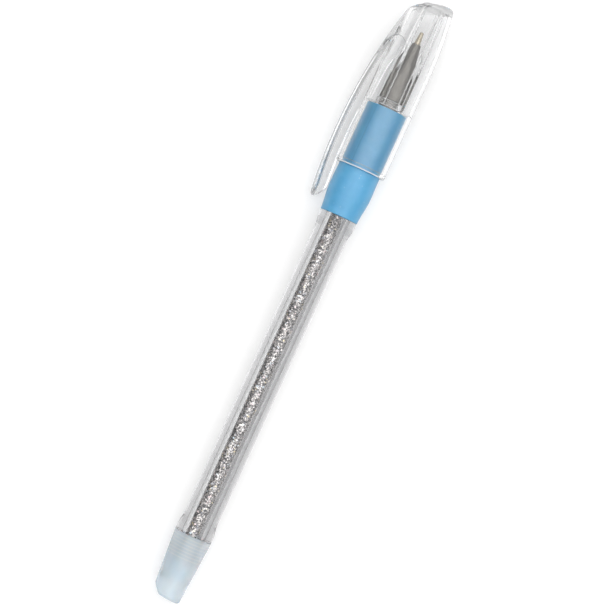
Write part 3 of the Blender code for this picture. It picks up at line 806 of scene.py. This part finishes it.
def flake_shape():
    """Six-sided flakes laid at random over the refill tube, each a little tilted."""
    draw = random.Random(FLAKE_SEED)
    along = Vector((1.0, 0.0, 0.0))
    bm = bmesh.new()
    for _ in range(FLAKE_COUNT):
        x = draw.uniform(*FLAKE_ENDS)
        around = draw.uniform(0.0, math.tau)
        size = draw.uniform(*FLAKE_SIZE)
        out = Vector((0.0, math.cos(around), math.sin(around)))
        side = Vector((0.0, -math.sin(around), math.cos(around)))
        tilt_x, tilt_s = draw.gauss(0.0, FLAKE_TILT), draw.gauss(0.0, FLAKE_TILT)
        normal = (out + along * tilt_x + side * tilt_s).normalized()
        first = normal.cross(along).normalized()
        second = normal.cross(first)
        middle = Vector((x, *refill_bend(x))) + out * (FLAKE_RADIUS + draw.uniform(0.0, FLAKE_LIFT))
        turn = draw.uniform(0.0, math.tau)
        ring = []
        for k in range(FLAKE_CORNERS):
            angle = turn + math.tau * k / FLAKE_CORNERS
            ring.append(bm.verts.new(middle + (first * math.cos(angle) + second * math.sin(angle)) * size))
        face = bm.faces.new(ring)
        face.normal_update()
        if face.normal.dot(out) < 0.0:
            face.normal_flip()
    return linked("glitter_flakes", bm)


def ink_shape():
    """Ink in the tube, behind the tip holder."""
    front, radius = TUBE_FRONT - HOLDER_DEPTH - FIT, TUBE_BORE - FIT
    outline = [(INK_REAR, 0.0), (INK_REAR, radius)]
    outline += run(INK_REAR, radius, front, radius, 50)
    outline.append((front, 0.0))
    return turned("ink_paste", outline, steps=40, bend=refill_bend)


def holder_shape():
    """White holder that carries the point in the tube."""
    spigot, column = TUBE_FRONT - HOLDER_DEPTH, TUBE_BORE - FIT
    bottom, socket = HOLDER_FRONT - POINT_DEPTH - FIT, POINT_RADIUS + FIT
    outline = [(spigot, INK_CHANNEL), (spigot, column), (TUBE_FRONT + FIT, column)]
    outline += [(TUBE_FRONT + FIT, TUBE_RADIUS), (HOLDER_FRONT, TUBE_RADIUS)]
    outline += [(HOLDER_FRONT, socket), (bottom, socket), (bottom, INK_CHANNEL)]
    return turned("holder_white", outline, steps=SMALL)


def point_shape():
    """Brass point with the cup that holds the ball."""
    shank = HOLDER_FRONT - POINT_DEPTH
    lip_bore = math.sqrt(CUP_RADIUS**2 - CUP_LIP**2)
    depth = math.sqrt(CUP_RADIUS**2 - INK_CHANNEL**2)
    outline = [(shank, INK_CHANNEL), (shank, POINT_RADIUS), (CONE_FRONT + FIT, POINT_RADIUS)]
    outline += [(BALL_AT, CUP_RADIUS + LIP_WALL), (BALL_AT + CUP_LIP, lip_bore + LIP_WALL)]
    first = math.degrees(math.atan2(lip_bore, CUP_LIP))
    last = math.degrees(math.atan2(INK_CHANNEL, -depth))
    outline += arc((BALL_AT, 0.0), CUP_RADIUS, first, last, 12)
    return turned("point_gold", outline, steps=SMALL)


def ball_shape():
    """Writing ball."""
    outline = arc((BALL_AT, 0.0), BALL_RADIUS, 180.0, 0.0, 32)
    outline[0] = (BALL_AT - BALL_RADIUS, 0.0)
    outline[-1] = (BALL_TIP, 0.0)
    return turned("ball_carbide", outline, steps=48)


def plug_section(x, angle):
    """Round section of the plug, narrower towards its end."""
    radius = FLARE_RADIUS - PLUG_DRAFT / (PLUG_FACE - PLUG_CHAMFER) * (PLUG_FACE - x)
    return radius * math.cos(angle), radius * math.sin(angle)


def plug_end(y, z):
    """Nearly flat end of the plug, furthest back on the side away from the chamfer."""
    return (y + FLARE_RADIUS - PLUG_DRAFT) * math.tan(PLUG_TILT)


def plug_shape():
    """Tapered plug with a stepped socket, a nearly flat end and one broad chamfer."""
    span = 3.0 * FLARE_RADIUS
    plug = lofted("plug_milky", plug_section, PLUG_FACE, plug_end, 24, edge=PLUG_ROUND)
    corner = Vector((PLUG_CHAMFER, FLARE_RADIUS - PLUG_DRAFT))
    along = Vector((-math.sin(PLUG_SLANT), -math.cos(PLUG_SLANT)))
    away = Vector((-math.cos(PLUG_SLANT), math.sin(PLUG_SLANT)))
    near = (corner - along * span, corner + along * span)
    outline = [tuple(p) for p in (*near, near[1] + away * span, near[0] + away * span)]
    combine(plug, slab("plug_chamfer", outline, -span, span), "DIFFERENCE")
    step = SPIGOT_REAR - FIT
    outline = [(PLUG_FLOOR, 0.0), (PLUG_FLOOR, PLUG_CORE - PLUG_FLOOR_CHAMFER)]
    outline += [(PLUG_FLOOR + PLUG_FLOOR_CHAMFER, PLUG_CORE), (step, PLUG_CORE), (step, PLUG_SOCKET)]
    outline += [(PLUG_FACE + span, PLUG_SOCKET), (PLUG_FACE + span, 0.0)]
    combine(plug, turned("plug_socket", outline), "DIFFERENCE")
    plug.data.transform(Matrix.Rotation(PLUG_TURN, 4, "X"))
    return plug


# Cap

def cap_plain(x):
    """Outer radius of the cap away from the clip."""
    past = max(0.0, x - CAP_TAPER)
    return CAP_RADIUS - SIDE_ARC + math.sqrt(SIDE_ARC**2 - past**2)


def cap_clip(x):
    """Distance from the axis to the outer line of the clip."""
    return CREST_HEIGHT - SIDE_ARC + math.sqrt(SIDE_ARC**2 - (x - CLIP_CREST) ** 2)


def cap_egg(x, angle):
    """Section round on the plain side and drawn out to the clip on the other."""
    reach = cap_clip(x) if math.cos(angle) > 0.0 else cap_plain(x)
    return reach * math.cos(angle), cap_plain(x) * math.sin(angle)


def cap_bore(x, angle):
    """Round section of the hollow."""
    radius = cap_plain(x) - CAP_WALL
    return radius * math.cos(angle), radius * math.sin(angle)


def cap_end(radius):
    """End surface of the cap: part of a ball whose top stands off the axis."""
    def height(y, z):
        return TOP_CENTRE + math.sqrt(max(radius**2 - (y + TOP_SHIFT) ** 2 - z**2, 0.0))

    return height


def clip_depth(x):
    """Thickness of the clip, thinned inside towards its tip."""
    share = min(1.0, max(0.0, (CLIP_TIP + CLIP_LEAD - x) / CLIP_LEAD))
    return CLIP_EDGE + (CLIP_THICKNESS - CLIP_EDGE) * math.cos(share * math.pi / 2.0)


def roof_lean():
    """Slope of the clip's inner line where the pocket's roof begins."""
    return math.asin((ROOF_START - CLIP_CREST) / SIDE_ARC)


def roof_meet():
    """Place where the pocket's roof meets the clip's inner line."""
    return ROOF_TOP - ROOF_ARC * (1.0 - math.sin(roof_lean()))


def roof_centre():
    """Middle of the arc of the pocket's roof."""
    inner = cap_clip(roof_meet()) - CLIP_THICKNESS
    return ROOF_START, inner - ROOF_ARC * math.cos(roof_lean())


def clip_pocket(low):
    """Outline of the gap between clip and shell, its round roof meeting the clip's inner line."""
    meet, centre = roof_meet(), roof_centre()
    first = math.sqrt(ROOF_ARC**2 - (centre[1] - POCKET_FLOOR) ** 2)
    begin = math.degrees(math.acos(first / ROOF_ARC))
    outline = [(low, POCKET_FLOOR), (centre[0] + first, POCKET_FLOOR)]
    outline += arc(centre, ROOF_ARC, -begin, 90.0 - math.degrees(roof_lean()), 32)[1:]
    bend = CLIP_TIP + CLIP_LEAD
    places = [meet + (bend - meet) * i / 36 for i in range(1, 37)]
    places += [bend + (CLIP_TIP - bend) * i / 20 for i in range(1, 21)] + [low]
    return outline + [(x, cap_clip(x) - clip_depth(x)) for x in places]


def clip_trim(low):
    """Outline of what is trimmed round the clip: round tip, slight taper, flare into the cap."""
    side = []
    for i in range(25):
        angle = math.radians(90.0 * i / 24)
        x = CLIP_TIP + CLIP_TIP_LENGTH * (1.0 - math.cos(angle))
        side.append((x, CLIP_TIP_HALF * math.sin(angle)))
    for i in range(13):
        angle = math.radians(90.0 * i / 12)
        x = ROOF_START - ROOF_ARC + ROOF_ARC * math.sin(angle)
        side.append((x, CLIP_ROOT_HALF + CLIP_ROOT_FLARE * (1.0 - math.cos(angle))))
    side += [(ROOF_START, FAR), (low, FAR)]
    return side + [(x, -z) for x, z in side[:0:-1]]


def shell_shape():
    """Helper: the round shell, a little inside the cap's plain side."""
    outline = [(CAP_MOUTH, 0.0)] + rear_corner(CAP_MOUTH, CAP_SIDE, MOUTH_ROUND, 6)
    outline += run(CAP_MOUTH + MOUTH_ROUND, CAP_SIDE, CAP_TAPER, CAP_SIDE, 12)
    for x, radius in run(CAP_TAPER, CAP_SIDE, SHELL_FRONT, CAP_SIDE, 12):
        outline.append((x, cap_plain(x) - CAP_RADIUS + radius))
    outline.append((SHELL_FRONT, 0.0))
    return turned("cap_shell", outline)


def gate_shape():
    """Helper: the gate mark, a low disc square to the slanted top."""
    outline = [(-OVERSHOOT, 0.0), (-OVERSHOOT, GATE_FOOT)]
    outline += arc((GATE_HEIGHT - GATE_ROUND, GATE_RADIUS), GATE_ROUND, 60.0, 0.0, 4)
    outline.append((GATE_HEIGHT, 0.0))
    gate = turned("gate_mark", outline, steps=48)
    gate.location = (cap_end(TOP_ARC)(GATE_SHIFT, 0.0), GATE_SHIFT, 0.0)
    gate.rotation_euler = (0.0, 0.0, math.asin((GATE_SHIFT + TOP_SHIFT) / TOP_ARC))
    return gate


def hollow_shape():
    """Helper: the hollow of the cap in front of its lip, with slots that leave the ribs standing."""
    hollow = lofted("cap_hollow", cap_bore, CAP_MOUTH + LIP_LENGTH, cap_end(TOP_INNER_ARC), 30, rings=8)
    outline = [(CAP_RIB_REAR, CAP_RIB_RADIUS), (CAP_TOP, CAP_RIB_RADIUS)]
    outline += [(CAP_TOP, FAR), (CAP_RIB_REAR, FAR)]
    for i in range(CAP_RIB_COUNT):
        rib = slab(f"cap_rib_{i}", outline, -CAP_RIB_HALF, CAP_RIB_HALF)
        rib.rotation_euler = (math.tau * (i + 0.5) / CAP_RIB_COUNT, 0.0, 0.0)
        combine(hollow, rib, "DIFFERENCE")
    return hollow


def lip_shape():
    """Helper: the hole through the lip, with a lead at the mouth."""
    rear, front = CAP_MOUTH - OVERSHOOT, CAP_MOUTH + LIP_LENGTH + OVERSHOOT
    lead = LIP_RADIUS + LIP_LEAD
    outline = [(rear, 0.0), (rear, lead), (CAP_MOUTH, lead), (CAP_MOUTH + LIP_LEAD_LENGTH, LIP_RADIUS)]
    outline += [(front, LIP_RADIUS), (front, 0.0)]
    return turned("cap_lip", outline)


def cap_shape():
    """One clear moulding: egg-shaped shell, clip with a thinned tip, ribbed bore and a slanted top."""
    low = CLIP_TIP - 2.0 * OVERSHOOT
    cap = lofted("cap_clear", cap_egg, CLIP_TIP - OVERSHOOT, cap_end(TOP_ARC), 48, rings=12, edge=CAP_ROUND)
    combine(cap, slab("clip_pocket", clip_pocket(low), -FAR, FAR), "DIFFERENCE")
    edge, mouth = CAP_RADIUS + FIT, CAP_MOUTH + MOUTH_ROUND
    outline = [(low, -FAR), (mouth, -FAR), (mouth, edge), (low, edge)]
    combine(cap, slab("cap_mouth", outline, -FAR, FAR), "DIFFERENCE")
    combine(cap, slab("clip_trim", clip_trim(low), CLIP_FLOOR - FIT, FAR, "XZ"), "DIFFERENCE")
    combine(cap, shell_shape(), "UNION")
    combine(cap, gate_shape(), "UNION")
    combine(cap, hollow_shape(), "DIFFERENCE")
    combine(cap, lip_shape(), "DIFFERENCE")
    return cap


# Stage

def build_floor():
    """A wide white floor that keeps a soft shadow."""
    bm = bmesh.new()
    bmesh.ops.create_circle(bm, cap_ends=True, radius=FLOOR_RADIUS, segments=96)
    obj = solid("floor", bm)
    obj.location = (0.0, 0.0, -FLOOR_DROP)
    material, tree, shader = start("pale_floor")
    tree.nodes.remove(shader)
    grain = noise(tree, put(tree, "ShaderNodeTexCoord").outputs["Object"], scale=40.0, detail=2.0)
    tone = two_tone(tree, grain, *((level, level, level) for level in FLOOR_TONES))
    matte = put(tree, "ShaderNodeBsdfDiffuse", {"Color": tone})
    path = put(tree, "ShaderNodeLightPath").outputs
    seen = combined(tree, "MAXIMUM", path["Is Camera Ray"], path["Is Glossy Ray"])
    seen = combined(tree, "MAXIMUM", seen, path["Is Transmission Ray"])
    glow = put(tree, "ShaderNodeEmission", {"Strength": product(tree, seen, FLOOR_LIFT)})
    both = put(tree, "ShaderNodeAddShader", {0: matte.outputs[0], 1: glow.outputs[0]})
    tree.links.new(both.outputs[0], tree.nodes["Material Output"].inputs["Surface"])
    obj.data.materials.append(material)


def build_world():
    """A studio: pale horizon, grey walls, darker on the clip's side, one broad soft light above the pen."""
    world = bpy.data.worlds.new("studio")
    bpy.context.scene.world = world
    world.use_nodes = True
    tree = world.node_tree
    background = tree.nodes["Background"]
    coords = put(tree, "ShaderNodeTexCoord").outputs["Generated"]
    parts = put(tree, "ShaderNodeSeparateXYZ", {0: coords}).outputs
    left = ramp(tree, parts["Z"], [(z, (level, level, level)) for z, level in LEFT_WALL])
    right = ramp(tree, parts["Z"], [(z, (level, level, level)) for z, level in RIGHT_WALL])
    walls = mixed(tree, spread(tree, parts["Y"], 0.0, 1.0, *WALL_CHANGE), right, left)
    facing = vectors(tree, "DOT_PRODUCT", coords, GLOW_AT)
    limits = {"From Min": GLOW_REACH[0], "From Max": GLOW_REACH[1], "To Min": 0.0, "To Max": GLOW}
    glow = put(tree, "ShaderNodeMapRange", {"Value": facing, **limits}, interpolation_type="SMOOTHSTEP")
    lit = vectors(tree, "ADD", walls, glow.outputs[0])
    tree.links.new(lit, background.inputs["Color"])
    background.inputs["Strength"].default_value = 1.0


def build_camera():
    """The photograph's view: straight down on the lying pen, its top leaning right."""
    data = bpy.data.cameras.new("camera")
    data.lens, data.sensor_width = LENS, SENSOR
    camera = bpy.data.objects.new("camera", data)
    above = AXIS.cross(LEFT)
    right = AXIS * math.sin(VIEW_LEAN) - LEFT * math.cos(VIEW_LEAN)
    up = AXIS * math.cos(VIEW_LEAN) + LEFT * math.sin(VIEW_LEAN)
    turn = Matrix((right, up, above)).transposed().to_4x4()
    middle = ORIGIN + AXIS * VIEW_ALONG * MM - LEFT * VIEW_RIGHT * MM
    turn.translation = middle + above * VIEW_WIDTH * MM * LENS / SENSOR
    camera.matrix_world = turn
    bpy.context.scene.collection.objects.link(camera)
    bpy.context.scene.camera = camera


clear = clear_plastic(
    "clear_plastic_look",
    tint=(0.86, 0.86, 0.867),
    # How dark the painted shade at a glance goes.
    rim=0.6,
    scratch=0.06,
    density=12.0,
    ior=1.5,
    # Painted white highlight on the collar's face.
    edges=COLLAR_HIGHLIGHTS,
    # Painted grey shade on the bore, left and right.
    painted_shade=(0.3, 0.55),
)
clear_cap = clear_plastic(
    "clear_cap_look",
    tint=(0.95, 0.951, 0.953),
    # How dark the painted shade at a glance goes.
    rim=0.7,
    scratch=0.04,
    density=4.0,
    ior=1.43,
    # Painted white highlights on the cap's mouth, lip step, ribs and top.
    edges=CAP_HIGHLIGHTS,
    scuff=0.22,
    # Strength of the painted dark line round the pocket's roof.
    roof=0.7,
)
nickel = turned_metal(
    "satin_nickel_look",
    dark=(0.09, 0.084, 0.074),
    light=(0.17, 0.163, 0.15),
    low=0.12,
    high=0.24,
    pitch=0.09,
    depth=0.1,
    edge=0.1,
)
gold = turned_metal(
    "gold_look",
    dark=(0.33, 0.285, 0.21),
    light=(0.45, 0.4, 0.31),
    low=0.15,
    high=0.28,
    pitch=0.07,
    depth=0.06,
)
carbide = turned_metal(
    "carbide_look",
    dark=(0.42, 0.42, 0.44),
    light=(0.52, 0.52, 0.54),
    low=0.08,
    high=0.16,
    pitch=0.2,
    depth=0.03,
)
ink = plain_plastic(
    "ink_look",
    dark=(0.006, 0.012, 0.1),
    light=(0.01, 0.03, 0.2),
    low=0.25,
    high=0.4,
    scale=1.5,
)
white = plain_plastic(
    "white_plastic_look",
    dark=(0.72, 0.72, 0.7),
    light=(0.82, 0.82, 0.8),
    low=0.3,
    high=0.45,
    scale=2.0,
)

settle(barrel_shape(), "pen", clear, "clear_plastic", "barrel")
settle(grip_shape(), "pen", rubber("blue_rubber_look"), "blue_rubber", "grip_sleeve")
settle(cone_shape(), "pen", nickel, "satin_nickel", "nose_cone")
settle(plug_shape(), "pen", milky_plastic("milky_blue_look"), "milky_blue", "end_plug")
settle(tube_shape(), "pen", foil("refill_foil_look"), "glitter_tube", "ink_tube")
settle(flake_shape(), "pen", glitter("glitter_flake_look"), "glitter_tube")
settle(ink_shape(), "pen", ink, "ink", "ink_column")
settle(holder_shape(), "pen", white, "white_plastic", "tip_holder")
settle(point_shape(), "pen", gold, "gold_metal", "point_body")
settle(ball_shape(), "ball", carbide, "carbide", "writing_ball")
settle(cap_shape(), "cap", clear_cap, "clear_cap", "cap")

build_floor()
build_world()
build_camera()

scene = bpy.context.scene
scene.view_settings.view_transform = "Standard"
scene.cycles.max_bounces = BOUNCES
scene.cycles.transmission_bounces = BOUNCES
scene.cycles.glossy_bounces = BOUNCES
